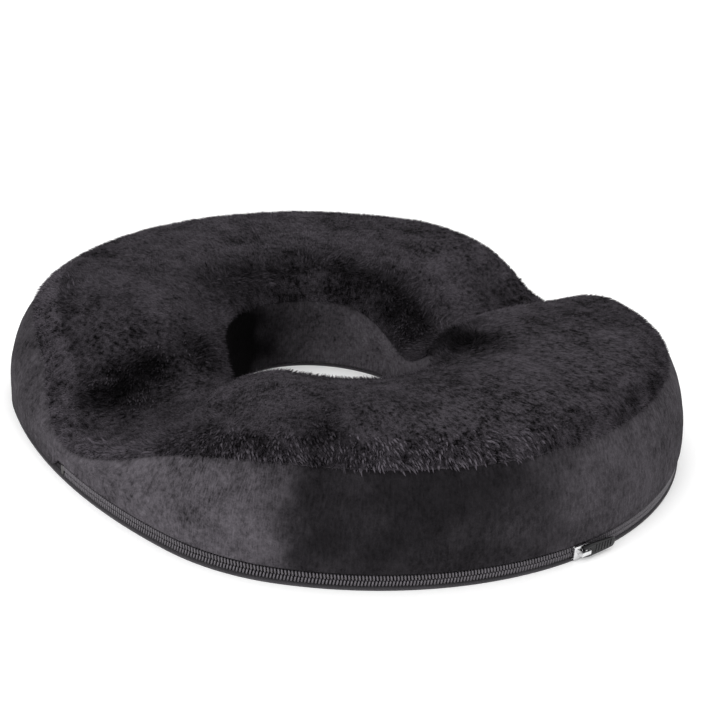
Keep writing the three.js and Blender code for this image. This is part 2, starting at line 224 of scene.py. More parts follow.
# %% Sizes of the shape
HALF_LENGTH = 228.5
HALF_WIDTH = 210
END_ARC_RADIUS = 228.5
END_ARC_SPAN = math.radians(45)
SHOULDER_RADIUS = 135
HOLE_HALF_LENGTH = 75
HOLE_HALF_WIDTH = 69
HOLE_CENTRE_Y = -14.5
LOBE_HEIGHT = 77
TROUGH_FLOOR = (24.5, 55, 40)
TROUGH_HALF_WIDTH = (88, 24, 45.5)
TROUGH_MIDDLE_Y = -60
TROUGH_SHARPNESS = 1.9
HOLE_ROUND_DROP = 23.5
HOLE_ROUND_WIDTH = 21
CROWN_DROP = 9.5
CROWN_WIDTH = 20
WALL_FOOT = 16
WALL_LEAN = 18
WALL_BULGE = 1
FULL_LEAN_HEIGHT = 30
PLAIN_OUTER = 220
PLAIN_HOLE = 75
PLAIN_HEIGHT = 70
EDGE_MARGIN = 25
TOP_MARGIN = 7
LAY_RADIUS = 150 * MM

shoulder_x = HALF_LENGTH - END_ARC_RADIUS \
    + (END_ARC_RADIUS - SHOULDER_RADIUS) * math.cos(END_ARC_SPAN)
shoulder_y = (END_ARC_RADIUS - SHOULDER_RADIUS) * math.sin(END_ARC_SPAN)
rise = HALF_WIDTH - shoulder_y
SIDE_RADIUS = (shoulder_x ** 2 + rise ** 2 - SHOULDER_RADIUS ** 2) \
    / (2 * (rise - SHOULDER_RADIUS))
SIDE_START = math.atan2(shoulder_y + SIDE_RADIUS - HALF_WIDTH, shoulder_x)

# %% The rule


def outer_point(psi):
    """The outline's point whose outward normal points at the angle psi."""
    x, y = np.abs(np.cos(psi)), np.abs(np.sin(psi))
    turn = np.arctan2(y, x)
    side, shoulder = turn > SIDE_START, turn > END_ARC_SPAN
    end_x = HALF_LENGTH - END_ARC_RADIUS
    cx = np.where(side, 0, np.where(shoulder, shoulder_x, end_x))
    cy = np.where(side, HALF_WIDTH - SIDE_RADIUS, np.where(shoulder, shoulder_y, 0))
    radius = np.where(side, SIDE_RADIUS, np.where(shoulder, SHOULDER_RADIUS, END_ARC_RADIUS))
    return np.sign(np.cos(psi)) * (cx + radius * x), np.sign(np.sin(psi)) * (cy + radius * y)


def hole_point(psi):
    a, b = HOLE_HALF_LENGTH * np.cos(psi), HOLE_HALF_WIDTH * np.sin(psi)
    reach = np.hypot(a, b)
    return HOLE_HALF_LENGTH * a / reach, HOLE_HALF_WIDTH * b / reach + HOLE_CENTRE_Y


def smooth(value, low, high):
    share = np.clip((value - low) / (high - low), 0, 1)
    return share * share * (3 - 2 * share)


def along_trough(sizes, y):
    front, middle, back = sizes
    to_middle = smooth(y, -HALF_WIDTH, TROUGH_MIDDLE_Y)
    to_back = smooth(y, TROUGH_MIDDLE_Y, HALF_WIDTH)
    return front + (middle - front) * to_middle + (back - middle) * to_back


def top_height(x, y, inset):
    width = along_trough(TROUGH_HALF_WIDTH, y)
    in_trough = np.exp(-np.abs(x / width) ** TROUGH_SHARPNESS)
    trough = (LOBE_HEIGHT - along_trough(TROUGH_FLOOR, y)) * in_trough
    from_hole = np.hypot(x / HOLE_HALF_LENGTH, (y - HOLE_CENTRE_Y) / HOLE_HALF_WIDTH)
    outside = np.maximum(from_hole - 1, 0) * HOLE_HALF_WIDTH
    hole_round = HOLE_ROUND_DROP * np.exp(-outside / HOLE_ROUND_WIDTH)
    crown = CROWN_DROP * (1 - in_trough) * np.maximum(1 - inset / CROWN_WIDTH, 0) ** 2
    return LOBE_HEIGHT - trough - hole_round - crown


def shaped(psi, radius, height):
    """Points in metres for a turn, radius and height on the plain round ring."""
    psi, radius, height = np.broadcast_arrays(psi, radius, np.asarray(height, float))
    nx, ny = np.cos(psi), np.sin(psi)
    from_hole, inset = radius - PLAIN_HOLE, PLAIN_OUTER - radius
    span = PLAIN_OUTER - PLAIN_HOLE - 2 * EDGE_MARGIN
    share = np.clip((from_hole - EDGE_MARGIN) / span, 0, 1)
    hx, hy = hole_point(psi)
    ox, oy = outer_point(psi)
    out, back = np.minimum(from_hole, EDGE_MARGIN), np.minimum(inset, EDGE_MARGIN)
    x = (hx + nx * out) * (1 - share) + (ox - nx * back) * share
    y = (hy + ny * out) * (1 - share) + (oy - ny * back) * share
    top_z = top_height(x, y, inset)
    climb = np.maximum(height - WALL_FOOT, 0) / (PLAIN_HEIGHT - TOP_MARGIN - WALL_FOOT)
    z = np.where(height > PLAIN_HEIGHT - TOP_MARGIN, top_z - (PLAIN_HEIGHT - height),
                 np.where(height > WALL_FOOT,
                          WALL_FOOT + (top_z - TOP_MARGIN - WALL_FOOT) * climb, height))
    up = np.maximum((z - WALL_FOOT) / (top_z - WALL_FOOT), 0)
    lean = WALL_BULGE * np.sin(math.pi * up) - WALL_LEAN * up ** 2
    lean *= np.minimum((top_z - WALL_FOOT) / FULL_LEAN_HEIGHT, 1) * share
    return np.stack([x + nx * lean, y + ny * lean, z], -1) * MM


# %% Meshes from grids


def grid_piece(name, points, lay_u, section, material, round_the_ring=True):
    """A closed piece from points[turn, section, xyz]. The section always closes on itself, and
    an open run gets two end caps. lay_u, in metres, and the plain section's own lengths become
    the UV map "lay"."""
    turn_count, count = points.shape[:2]
    runs = turn_count if round_the_ring else turn_count - 1
    i, j = np.meshgrid(np.arange(runs), np.arange(count), indexing="ij")
    i, j = i.ravel(), j.ravel()
    i2, j2 = (i + 1) % turn_count, (j + 1) % count
    quads = np.stack([i * count + j, i2 * count + j, i2 * count + j2, i * count + j2], -1)
    flat_points = points.reshape(-1, 3)
    a, b, c, d = (flat_points[quads[:, k]] for k in range(4))
    volume = (np.cross(a, b) * c).sum() + (np.cross(a, c) * d).sum()
    u = np.append(lay_u, lay_u[-1] + (lay_u[-1] - lay_u[-2]))
    lengths = section_lengths(section)
    v = np.append(lengths, lengths[-1] + (lengths[-1] - lengths[-2]))
    uv = np.stack([np.stack([u[i], u[i + 1], u[i + 1], u[i]], -1),
                   np.stack([v[j], v[j], v[j + 1], v[j + 1]], -1)], -1)
    if volume < 0:
        quads, uv = quads[:, ::-1], uv[:, ::-1]
    faces = quads.tolist()
    caps = []
    if not round_the_ring:
        first = list(range(count))
        last = [(turn_count - 1) * count + k for k in range(count)]
        caps = [first, last[::-1]] if volume > 0 else [first[::-1], last]
    mesh = bpy.data.meshes.new(name)
    mesh.from_pydata(flat_points.tolist(), [], faces + caps)
    layer = mesh.uv_layers.new(name="lay")
    flat_uv = np.zeros((len(mesh.loops), 2))
    flat_uv[:len(faces) * 4] = uv.reshape(-1, 2)
    layer.data.foreach_set("uv", flat_uv.ravel())
    mesh.shade_smooth()
    mesh.validate()
    if material:
        mesh.materials.append(material)
    print(name, len(mesh.polygons), "faces")
    return link(name, mesh)


def give(mesh, name, kind, values):
    """Gives the mesh's points an attribute, of kind FLOAT or FLOAT_VECTOR."""
    layer = mesh.attributes.new(name, kind, "POINT")
    field = "value" if kind == "FLOAT" else "vector"
    layer.data.foreach_set(field, np.asarray(values, np.float32).ravel())


def raised(points, height):
    """Points of a grid that closes both ways, moved outwards along its normals by height."""
    along = np.roll(points, -1, 0) - np.roll(points, 1, 0)
    over = np.roll(points, -1, 1) - np.roll(points, 1, 1)
    normal = np.cross(along, over)
    normal /= np.linalg.norm(normal, axis=-1, keepdims=True) + 1e-12
    return points + normal * height[..., None]


def lumps(points, size, seed):
    """Smooth noise from about -1 to 1 whose lumps are about size metres across."""
    places = points.reshape(-1, 3) / size + seed
    values = np.array([noise.noise(Vector(p)) for p in places])
    return values.reshape(points.shape[:-1])


def fine(low, high, step):
    """Evenly spaced values from low to high, about step apart."""
    return np.linspace(low, high, max(2, int(round(abs(high - low) / step)) + 1))


def turns(count):
    """count angles evenly round the ring."""
    return 2 * math.pi * np.arange(count) / count


def swept(place, psi, section):
    """A section of (radius, height) points swept round the turns psi by the rule place."""
    return place(psi[:, None], *np.array(section).T[:, None, :])


def section_lengths(section):
    """Lengths in metres along a section of (radius, height) points, for the UV map."""
    radii, heights = np.array(section, float).T
    steps = np.hypot(np.diff(radii), np.diff(heights))
    return np.append(0, np.cumsum(steps)) * MM


# %% [markdown]
# ## How the cover settles on the foam
#
# A sewn cover isn't exactly the shape that a rule gives: the foam presses it outwards between
# its seams. Here a closed bag, a little smaller than the cushion, is remeshed evenly and blown
# up by Blender's Cloth for 20 frames. Foam holds the real cover back far more than air does, so
# only a quarter of each spot's swelling beyond the typical one is kept, and it is capped. Every
# cloth panel, seam and the foam is then moved by the same table of places and moves.

# %% Cloth simulation of the bag
BAG_INSET = 1.5
VOXEL = 0.005
PRESSURE = 4.0
FRAMES = 20
STIFFNESS = 25
BENDING = 2
SWELL_KEPT = 0.25
MOVE_CAP = 0.0018
FOOT_HELD = (0.016, 0.032)
NEAR_POINTS = 6
NEAR_BLUR = 0.004


def read_vectors(vertices, name):
    values = np.empty(len(vertices) * 3, np.float32)
    vertices.foreach_get(name, values)
    return values.reshape(-1, 3)


def simulate_bag():
    """(places, moves) of the bag's points, as a k-d tree and an array."""
    inner, outer = PLAIN_HOLE + BAG_INSET, PLAIN_OUTER - BAG_INSET
    height = PLAIN_HEIGHT - BAG_INSET
    section = [(r, BAG_INSET) for r in fine(inner, outer, 10)]
    section += [(outer, h) for h in fine(10, height - 4, 8)]
    section += [(r, height) for r in fine(outer, inner, 6)]
    section += [(inner, h) for h in fine(height - 4, 10, 8)]
    bag_turns = turns(240)
    points = swept(shaped, bag_turns, section)
    bag = grid_piece("bag", points, bag_turns, section, None)
    remesh = bag.modifiers.new("even mesh", "REMESH")
    remesh.mode = "VOXEL"
    remesh.voxel_size = VOXEL
    even = evaluated(bag)
    bag.modifiers.clear()
    bag.data = even
    start = read_vectors(even.vertices, "co")
    cloth = bag.modifiers.new("cloth", "CLOTH")
    cloth.settings.use_pressure = True
    cloth.settings.uniform_pressure_force = PRESSURE
    cloth.settings.effector_weights.gravity = 0
    cloth.settings.quality = 5
    cloth.settings.tension_stiffness = STIFFNESS
    cloth.settings.compression_stiffness = STIFFNESS
    cloth.settings.bending_stiffness = BENDING
    cloth.point_cache.frame_start = 1
    cloth.point_cache.frame_end = FRAMES
    scene = bpy.context.scene
    for frame_number in range(1, FRAMES + 1):
        scene.frame_set(frame_number)
    end = read_vectors(evaluated(bag).vertices, "co")
    scene.frame_set(1)
    outward = read_vectors(even.vertices, "normal")
    swell = ((end - start) * outward).sum(1)
    typical = np.median(swell)
    print("bag points", len(start), "typical swell in mm", round(float(typical) / MM, 2),
          "largest", round(float(swell.max()) / MM, 2))
    uneven = np.clip((swell - typical) * SWELL_KEPT, -MOVE_CAP, MOVE_CAP)
    moves = outward * uneven[:, None]
    bpy.data.objects.remove(bag)
    tree = kdtree.KDTree(len(start))
    for k, co in enumerate(start.tolist()):
        tree.insert(co, k)
    tree.balance()
    return tree, moves


bag_tree, bag_moves = simulate_bag()


def settle(points):
    """The points, moved by the bag's moves near them. The foot of the wall is held."""
    if bag_tree is None:
        return points
    flat_points = points.reshape(-1, 3)
    moved = np.zeros_like(flat_points)
    for k, co in enumerate(flat_points.tolist()):
        near = bag_tree.find_n(co, NEAR_POINTS)
        weights = np.array([1 / (distance + NEAR_BLUR) for _, _, distance in near])
        indices = [index for _, index, _ in near]
        moved[k] = (bag_moves[indices] * weights[:, None]).sum(0) / weights.sum()
    held = smooth(flat_points[:, 2], *FOOT_HELD)[:, None]
    return (flat_points + moved * held).reshape(points.shape)


def cloth_points(psi, radius, height):
    """Shaped points as the settled cover has them."""
    return settle(shaped(psi, radius, height))


# %% [markdown]
# ## Plush
#
# The cover is a short-pile velour. The pile on the top has been rubbed and lies in matted
# patches, and it looks nearly black where it leans away and grey where it leans towards the
# light. The wall's pile is shorter and smoother. One material family does both: noise on
# Object coordinates gives the patches, noise stretched along the panel gives the fibres, and a
# little sheen gives the soft bloom at the edges. Painted shade, in patches where the pile leans
# away and in the troughs, is put on the mesh as the attribute "painted_shade", from 0, none, to
# 1, darkest; a negative value paints light.

# %% Plush materials
PURPLE_GREY = (1.0, 0.915, 1.03)
WARM_GREY = (1.0, 0.90, 1.04)


def grey(value, tint=PURPLE_GREY):
    return tuple(value * t for t in tint)


def plush(name, dark, light, patch, fibre, sheen, relief):
    """Velour: patches, tufts, strands and grain shift the tone between dark and light, and the
    mesh's painted shade darkens it.
    """
    material, tree, shader = start_material(
        name, Roughness=1.0, Specular_IOR_Level=0.03, Sheen_Weight=sheen,
        Sheen_Roughness=0.5, Sheen_Tint=(0.60, 0.55, 0.62, 1))
    wide = object_noise(tree, 15, 3)
    middle = object_noise(tree, 75, 4)
    tufts = object_noise(tree, 330, 3)
    strands = uv_noise(tree, 640, 190, 3)
    grain = object_noise(tree, 1000, 2)
    # The painted shade attribute darkens the colour, and a negative value lightens it as painted
    # light.
    painted_shade = put(tree, "ShaderNodeAttribute", {"attribute_name": "painted_shade"}).outputs["Fac"]
    shade = weigh(tree, (wide, patch), (middle, patch), (tufts, fibre), (strands, fibre),
                  (grain, fibre * 0.8))
    shade = combine(tree, "MULTIPLY", shade, combine(tree, "SUBTRACT", 1.0, painted_shade), clamp=True)
    colour_between(tree, shader, shade, dark, light)
    pile = weigh(tree, (strands, 1.2), (tufts, 1.2), (grain, 0.8))
    bump(tree, shader, pile, relief, 0.0016)
    return material


# The top's colours are painted darker than the side band's, and the hole band's darkest colour
# darker still: painted shade on one plush.
top_plush = plush("top plush", grey(0.001), grey(0.056, WARM_GREY), 1.2, 1.45, 0.03, 1.0)
wall_plush = plush("wall plush", grey(0.003), grey(0.118), 0.7, 0.75, 0.03, 0.6)
hole_plush = plush("hole plush", grey(0.0005), grey(0.092), 0.6, 0.7, 0.0, 0.5)
pile_plush = plush("pile tufts", grey(0.0008), grey(0.100, WARM_GREY), 1.2, 1.3, 0.02, 0.0)

# %% Painted shade and painted light on the top
# Patches of painted shade on the top. Each is x, y, half-length and half-width in millimetres,
# turn in degrees, and strength. A negative strength paints light instead.
PAINTED_SHADE_PATCHES = [
    (-97, -12, 48, 15, 86, 0.70),
    (-62, 58, 34, 13, 30, 0.66),
    (-17, 72, 26, 24, 0, 0.62),
    (45, 50, 48, 19, -30, 0.85),
    (88, 44, 26, 13, -10, 0.72),
    (-12, 150, 26, 22, 0, 0.28),
    (-30, -135, 26, 13, 80, 0.75),
    (-24, -165, 26, 14, 70, 0.70),
    (-27, -97, 14, 10, 0, 0.55),
    (64, -173, 46, 13, 8, 0.32),
    (132, -118, 40, 15, -30, 0.36),
    (148, -128, 50, 8, -50, 0.22),
    (178, -35, 34, 60, 0, -0.42),
    (188, -80, 30, 16, 62, -0.25),
    (14, -150, 34, 26, 0, 0.34),
    (64, -152, 30, 14, 0, 0.18),
    (90, -120, 22, 26, 0, -0.15),
    (138, -60, 22, 12, 10, 0.22),
    (-23, -117, 12, 9, 0, -0.25),
    (-31, 108, 24, 20, 0, -0.10),
    (125, 80, 60, 50, 0, -0.20),
    (-84, -110, 60, 60, 0, 0.12),
]


def painted_shade_at(points):
    """The painted shade at points of the top, in metres."""
    x, y = points[..., 0] / MM, points[..., 1] / MM
    ragged = lumps(points, 0.014, 3.1) * 0.35 + lumps(points, 0.005, 7.7) * 0.2
    total = np.zeros(x.shape)
    for cx, cy, long, wide, turn, strength in PAINTED_SHADE_PATCHES:
        c, s = math.cos(math.radians(turn)), math.sin(math.radians(turn))
        u = ((x - cx) * c + (y - cy) * s) / long
        v = (-(x - cx) * s + (y - cy) * c) / wide
        total += strength * np.exp(-(u * u + v * v) * (1 - ragged))
    return np.clip(total, -0.5, 0.96)


# %% [markdown]
# ## Top panel
#
# A ring of plush, cut oval and sewn along both edges. It is a grid that follows the shape's
# rule, 3 mm thick, with its edges turned under. The matted pile is moved in the mesh too, by
# layers of noise along the surface's normal, so that it catches the light from every side. At
# the front left a painted highlight along the edge, with a painted shade line inside it, gives
# the look of a ridge of pile.

# %% Top panel
PLUSH = 3
MAT_DEPTH = 0.0007
# Where the painted highlight and painted shade line of the front-left ridge lie, in degrees.
PAINTED_RIDGE_TURN = -118
PAINTED_RIDGE_SPREAD = 20
edge = [(-0.3, -PLUSH), (0, -PLUSH + 0.8), (0, -1.2), (-0.5, -0.35)]
under = [(r, PLAIN_HEIGHT - PLUSH) for r in fine(PLAIN_HOLE + 0.6, PLAIN_OUTER - 0.6, 6)]
outer_edge = [(PLAIN_OUTER + dr, PLAIN_HEIGHT + dz) for dr, dz in edge]
face = [(r, PLAIN_HEIGHT) for r in fine(PLAIN_OUTER - 1.4, PLAIN_HOLE + 1.4, 2.1)]
inner_edge = [(PLAIN_HOLE - dr, PLAIN_HEIGHT + dz) for dr, dz in reversed(edge)]
top_section = under + outer_edge + face + inner_edge
top_turns = turns(600)
top_points = swept(cloth_points, top_turns, top_section)
shows = np.zeros(len(top_section))
shows[len(under) + 2:-2] = 1
# Painted shade and painted light on the top panel, patch by patch.
painted_shade = painted_shade_at(top_points)
from_edge = PLAIN_OUTER - np.array(top_section)[:, 0]
degrees = np.degrees(np.angle(np.exp(1j * top_turns)))
painted_ridge = np.exp(-((degrees - PAINTED_RIDGE_TURN) / PAINTED_RIDGE_SPREAD) ** 2)[:, None]
# A painted highlight along the front-left edge and a painted shade line inside it.
painted_shade -= 0.85 * painted_ridge * smooth(-from_edge, -15, -12)
painted_shade += 0.45 * painted_ridge * smooth(-from_edge, -34, -17) * (1 - smooth(-from_edge, -16, -13))
matting = lumps(top_points, 0.016, 1.0) * 0.45 + lumps(top_points, 0.0052, 5.0) * 0.45
matting += np.clip(painted_shade, 0, 1) * lumps(top_points, 0.008, 9.0) * 3.0
top_points = raised(top_points, matting * MAT_DEPTH * shows)
plush_top = grid_piece("plush_top", top_points, top_turns * LAY_RADIUS, top_section, top_plush)
give(plush_top.data, "painted_shade", "FLOAT", painted_shade)

# %% [markdown]
# ## Wall panels
#
# The side band runs round the outside, and it stops above the zipper on the right-hand half.
# The hole band lines the hole. Both are strips of the same plush with a shorter, flatter pile.

# %% Side band
BASE_CLOTH = 1.2
BAND_FOOT = 2.4
ZIP_TOP = 9.8
BAND = 2.5
BAND_TOP = PLAIN_HEIGHT - PLUSH - 0.4
TAPE_END = math.radians(95)
ZIP_END = math.radians(91)
RUN_IN = math.radians(1.4)
WALL_RELIEF = 0.0006

wall_turns = turns(600)
away = np.abs(np.angle(np.exp(1j * wall_turns)))
foot = ZIP_TOP + (BAND_FOOT - ZIP_TOP) * smooth(away, ZIP_END, ZIP_END + RUN_IN)
low = fine(0, 1, 0.2)[1:-1]
high = fine(WALL_FOOT, BAND_TOP - 1.2, 2.0)


def wall_height(share, level):
    """A section point's height at every turn: a share of the way up from the band's foot to the
    height where the wall starts to lean, or else one level."""
    if share is None:
        return np.full_like(foot, level)
    return foot + (WALL_FOOT - foot) * share


wall_list = [(PLAIN_OUTER - 1.7, 0.0, None), (PLAIN_OUTER - 0.5, 0.02, None),
             (PLAIN_OUTER, 0.12, None)]
wall_list += [(PLAIN_OUTER, share, None) for share in low[1:]]
wall_list += [(PLAIN_OUTER, None, level) for level in high]
wall_list += [(PLAIN_OUTER - 0.15, None, BAND_TOP - 0.6), (PLAIN_OUTER - 0.8, None, BAND_TOP),
              (PLAIN_OUTER - BAND, None, BAND_TOP)]
wall_list += [(PLAIN_OUTER - BAND, None, level) for level in (60, 50, 40, 30, WALL_FOOT)]
wall_list += [(PLAIN_OUTER - BAND, 0.0, None)]
wall_heights = np.stack([wall_height(share, level) for _, share, level in wall_list], 1)
wall_radii = np.array([r for r, _, _ in wall_list])
wall_points = cloth_points(wall_turns[:, None], wall_radii[None, :], wall_heights)
shows = np.zeros(len(wall_list))
shows[3:-9] = 1
soft = lumps(wall_points, 0.03, 2.0) * 1.0 + lumps(wall_points, 0.009, 6.0) * 0.35
wall_points = raised(wall_points, soft * WALL_RELIEF * shows)
plush_wall = grid_piece("plush_wall", wall_points, wall_turns * PLAIN_OUTER * MM,
                        list(zip(wall_radii, wall_heights[0])), wall_plush)

# %% Hole band
# The foam presses the lining inwards at its foot on the left, most at HOLE_BULGE_TURN degrees
# and nowhere above HOLE_BULGE_TOP.
HOLE_BULGE = 0.0065
HOLE_BULGE_TURN = 208
HOLE_BULGE_SPREAD = 26
HOLE_BULGE_TOP = 45
HOLE_RELIEF = 0.0005
hole_turns = turns(300)
hole_section = [(PLAIN_HOLE + 1.2, BAND_FOOT), (PLAIN_HOLE + BAND, BAND_FOOT)]
hole_section += [(PLAIN_HOLE + BAND, h) for h in (20, 40, 55)]
hole_section += [(PLAIN_HOLE + BAND, BAND_TOP), (PLAIN_HOLE + 0.8, BAND_TOP),
                 (PLAIN_HOLE + 0.15, BAND_TOP - 0.6)]
hole_section += [(PLAIN_HOLE, h) for h in fine(BAND_TOP - 1.4, BAND_FOOT + 1.0, 2.0)]
hole_section += [(PLAIN_HOLE + 0.3, BAND_FOOT + 0.3)]
hole_points = swept(cloth_points, hole_turns, hole_section)
shows = np.zeros(len(hole_section))
shows[8:-1] = 1
soft = lumps(hole_points, 0.02, 4.0) + lumps(hole_points, 0.008, 8.0) * 0.4
hole_points = raised(hole_points, soft * HOLE_RELIEF * shows)
from_bulge = (np.degrees(hole_turns) - HOLE_BULGE_TURN) / HOLE_BULGE_SPREAD
bulge_turn = np.exp(-from_bulge ** 2)[:, None]
bulge_height = np.clip(1 - np.array(hole_section)[:, 1] / HOLE_BULGE_TOP, 0, 1) * shows
hole_inwards = -np.stack([np.cos(hole_turns), np.sin(hole_turns), 0 * hole_turns], -1)[:, None]
hole_points = hole_points + hole_inwards * (HOLE_BULGE * bulge_turn * bulge_height)[..., None]
plush_hole = grid_piece("plush_hole_wall", hole_points, hole_turns * PLAIN_HOLE * MM,
                        hole_section, hole_plush)

# %% Painted shade of the wall panels
# Shade is painted on the side band by turn: darkest at the front right, between about -41 and
# -6 degrees, and lightest near -75 to -52 degrees. Each stop is a turn in degrees and a painted
# shade value. The hole band has patches of painted shade, darkest at its front left, each x, y, z
# and radius in millimetres, and strength; a negative strength paints light.
WALL_PAINTED_SHADE = [(-180, 0.44), (-150, 0.50), (-130, 0.44), (-110, 0.36), (-92, 0.15), (-75, 0.0),
            (-52, 0.0), (-47, 0.32), (-41, 0.80), (-28, 0.87), (-16, 0.80), (-6, 0.62),
            (4, 0.34), (40, 0.20), (90, 0.25), (140, 0.35), (180, 0.44)]
HOLE_PAINTED_SHADE = [(-70, -40, 25, 40, 0.72), (-50, -66, 25, 42, 0.72), (-20, -80, 25, 44, 0.6),
            (-76, 0, 30, 46, 0.30), (-20, 50, 30, 50, -0.15)]
MOST_WALL_SHADE = 0.88
MOST_HOLE_SHADE = 0.97


# Painted shade along the side band, by turn.
def painted_shade_by_turn(points, stops):
    degrees = np.degrees(np.arctan2(points[..., 1], points[..., 0]))
    degrees = degrees + 6 * lumps(points, 0.03, 21.0) + 3 * lumps(points, 0.009, 23.0)
    values = np.interp(degrees, *np.array(stops, float).T)
    return np.minimum(values * (1 + 0.15 * lumps(points, 0.02, 11.0)), MOST_WALL_SHADE)


# Painted shade in the hole, from round patches.
def painted_shade_in_balls(points, patches):
    total = np.zeros(points.shape[:-1])
    for x, y, z, radius, strength in patches:
        far = np.linalg.norm(points / MM - (x, y, z), axis=-1) / radius
        total += strength * np.exp(-far * far)
    return np.minimum(total * (1 + 0.3 * lumps(points, 0.02, 11.0)), MOST_HOLE_SHADE)


# Painted shade and painted light on the side band and in the hole.
give(plush_wall.data, "painted_shade", "FLOAT", painted_shade_by_turn(wall_points, WALL_PAINTED_SHADE))
give(plush_hole.data, "painted_shade", "FLOAT", painted_shade_in_balls(hole_points, HOLE_PAINTED_SHADE))

# %% [markdown]
# ## Foam ring
#
# The core is one moulded ring of memory foam. Its grid follows the same rule, a little inside
# the cover, with a step round its foot where the zipper has its room. Open cells come from a
# Voronoi pattern in the bump and a faint change of colour.

# %% Foam ring
foam_material, tree, shader = start_material("memory foam", Roughness=0.9,
                                             Specular_IOR_Level=0.2)
cells = put(tree, "ShaderNodeTexVoronoi",
            Vector=put(tree, "ShaderNodeTexCoord").outputs["Object"], Scale=700.0)
mottle = object_noise(tree, 30, 4)
both = weigh(tree, (mottle, 0.7), (cells.outputs["Distance"], 0.5))
colour_between(tree, shader, both, (0.62, 0.55, 0.38), (0.90, 0.86, 0.72))
bump(tree, shader, cells.outputs["Distance"], 0.5, 0.0008)

FOAM_OUTER = PLAIN_OUTER - BAND - 0.3
FOAM_HOLE = PLAIN_HOLE + BAND + 0.3
FOAM_TOP = PLAIN_HEIGHT - PLUSH - 0.3
FOAM_BASE = 1.5
ZIP_CAVITY = 4.85
TAPE_TOP = 14.8
foam_turns = turns(288)
foam_section = [(r, FOAM_BASE) for r in fine(FOAM_HOLE, PLAIN_OUTER - ZIP_CAVITY, 9)]
foam_section += [(PLAIN_OUTER - ZIP_CAVITY, h) for h in (6, 10, TAPE_TOP + 0.3)]
foam_section += [(FOAM_OUTER, h) for h in fine(16.8, BAND_TOP - 2, 4.5)]
foam_section += [(FOAM_OUTER - 0.6, FOAM_TOP - 0.7)]
foam_section += [(r, FOAM_TOP) for r in fine(FOAM_OUTER - 2, FOAM_HOLE + 2, 4.5)]
foam_section += [(FOAM_HOLE + 0.6, FOAM_TOP - 0.7)]
foam_section += [(FOAM_HOLE, h) for h in fine(BAND_TOP - 2, 6, 7)]
foam_points = swept(cloth_points, foam_turns, foam_section)
foam_ring = grid_piece("foam_ring", foam_points, foam_turns * LAY_RADIUS, foam_section,
                       foam_material)

# %% [markdown]
# ## Base cloth
#
# The underside is a flat ring of closely woven cloth. A weave is two sets of threads that pass
# over and under each other, so two waves at right angles give its bump.

# %% Base cloth
BASE_WEAVE = 5200
CUT_EDGE = 0.15

base_material, tree, shader = start_material("base weave", Roughness=0.85,
                                             Specular_IOR_Level=0.25, Sheen_Weight=0.05)


def weave(tree, across_scale, along_scale, source):
    """Height of a plain weave: waves along both ways, the one on top changing place by place."""
    parts = put(tree, "ShaderNodeSeparateXYZ", Vector=source)
    one = combine(tree, "SINE", combine(tree, "MULTIPLY", parts.outputs[0], across_scale), 0.0)
    two = combine(tree, "SINE", combine(tree, "MULTIPLY", parts.outputs[1], along_scale), 0.0)
    product = combine(tree, "MULTIPLY", one, two)
    return combine(tree, "ADD", combine(tree, "MULTIPLY", product, 0.5), 0.5)


place_socket = put(tree, "ShaderNodeTexCoord").outputs["Object"]
threads = weave(tree, BASE_WEAVE, BASE_WEAVE, place_socket)
shade = weigh(tree, (threads, 0.6), (object_noise(tree, 40, 3), 0.6))
colour_between(tree, shader, shade, (0.020, 0.019, 0.021), (0.075, 0.070, 0.078))
bump(tree, shader, threads, 0.6, 0.0004)

base_turns = turns(360)
base_across = fine(PLAIN_HOLE + 2 * CUT_EDGE, PLAIN_OUTER - 2 * CUT_EDGE, 9)
base_section = [(PLAIN_HOLE, CUT_EDGE)]
base_section += [(r, 0.0) for r in base_across]
base_section += [(PLAIN_OUTER, CUT_EDGE), (PLAIN_OUTER, BASE_CLOTH - CUT_EDGE)]
base_section += [(r, BASE_CLOTH) for r in base_across[::-1]]
base_section += [(PLAIN_HOLE, BASE_CLOTH - CUT_EDGE)]
base_points = swept(shaped, base_turns, base_section)
base_cloth = grid_piece("base_cloth", base_points, base_turns * LAY_RADIUS, base_section,
                        base_material)

# %% [markdown]
# ## Repeated pieces with Geometry Nodes
#
# Stitches, zipper teeth and pile are all one small shape many times over. A tree of
# Geometry Nodes puts that shape on a path or on a surface, and one tree serves many pieces,
# because its sizes are named inputs. The result is made a plain mesh.

# %% Helpers for trees


def start_tree(name, inputs):
    tree = bpy.data.node_groups.new(name, "GeometryNodeTree")
    face = tree.interface
    face.new_socket("Geometry", in_out="INPUT", socket_type="NodeSocketGeometry")
    for label, kind in inputs:
        face.new_socket(label, in_out="INPUT", socket_type="NodeSocket" + kind)
    face.new_socket("Geometry", in_out="OUTPUT", socket_type="NodeSocketGeometry")
    return tree, tree.nodes.new("NodeGroupInput").outputs


def end_tree(tree, instances, material):
    real = put(tree, "GeometryNodeRealizeInstances", Geometry=instances)
    smooth_faces = put(tree, "GeometryNodeSetShadeSmooth", Geometry=real.outputs[0])
    done = put(tree, "GeometryNodeSetMaterial", Geometry=smooth_faces.outputs[0],
               Material=material)
    end = tree.nodes.new("NodeGroupOutput")
    tree.links.new(done.outputs[0], end.inputs[0])


def run_tree(name, tree, source, **values):
    """Runs tree on source and returns its result as a plain mesh piece. source is removed."""
    modifier = source.modifiers.new(tree.name, "NODES")
    modifier.node_group = tree
    for item in tree.interface.items_tree:
        if item.in_out == "INPUT" and item.name.replace(" ", "_") in values:
            modifier[item.identifier] = values[item.name.replace(" ", "_")]
    mesh = evaluated(source)
    mesh.name = name
    bpy.data.objects.remove(source)
    made = link(name, mesh)
    print(name, len(mesh.polygons), "faces")
    return made


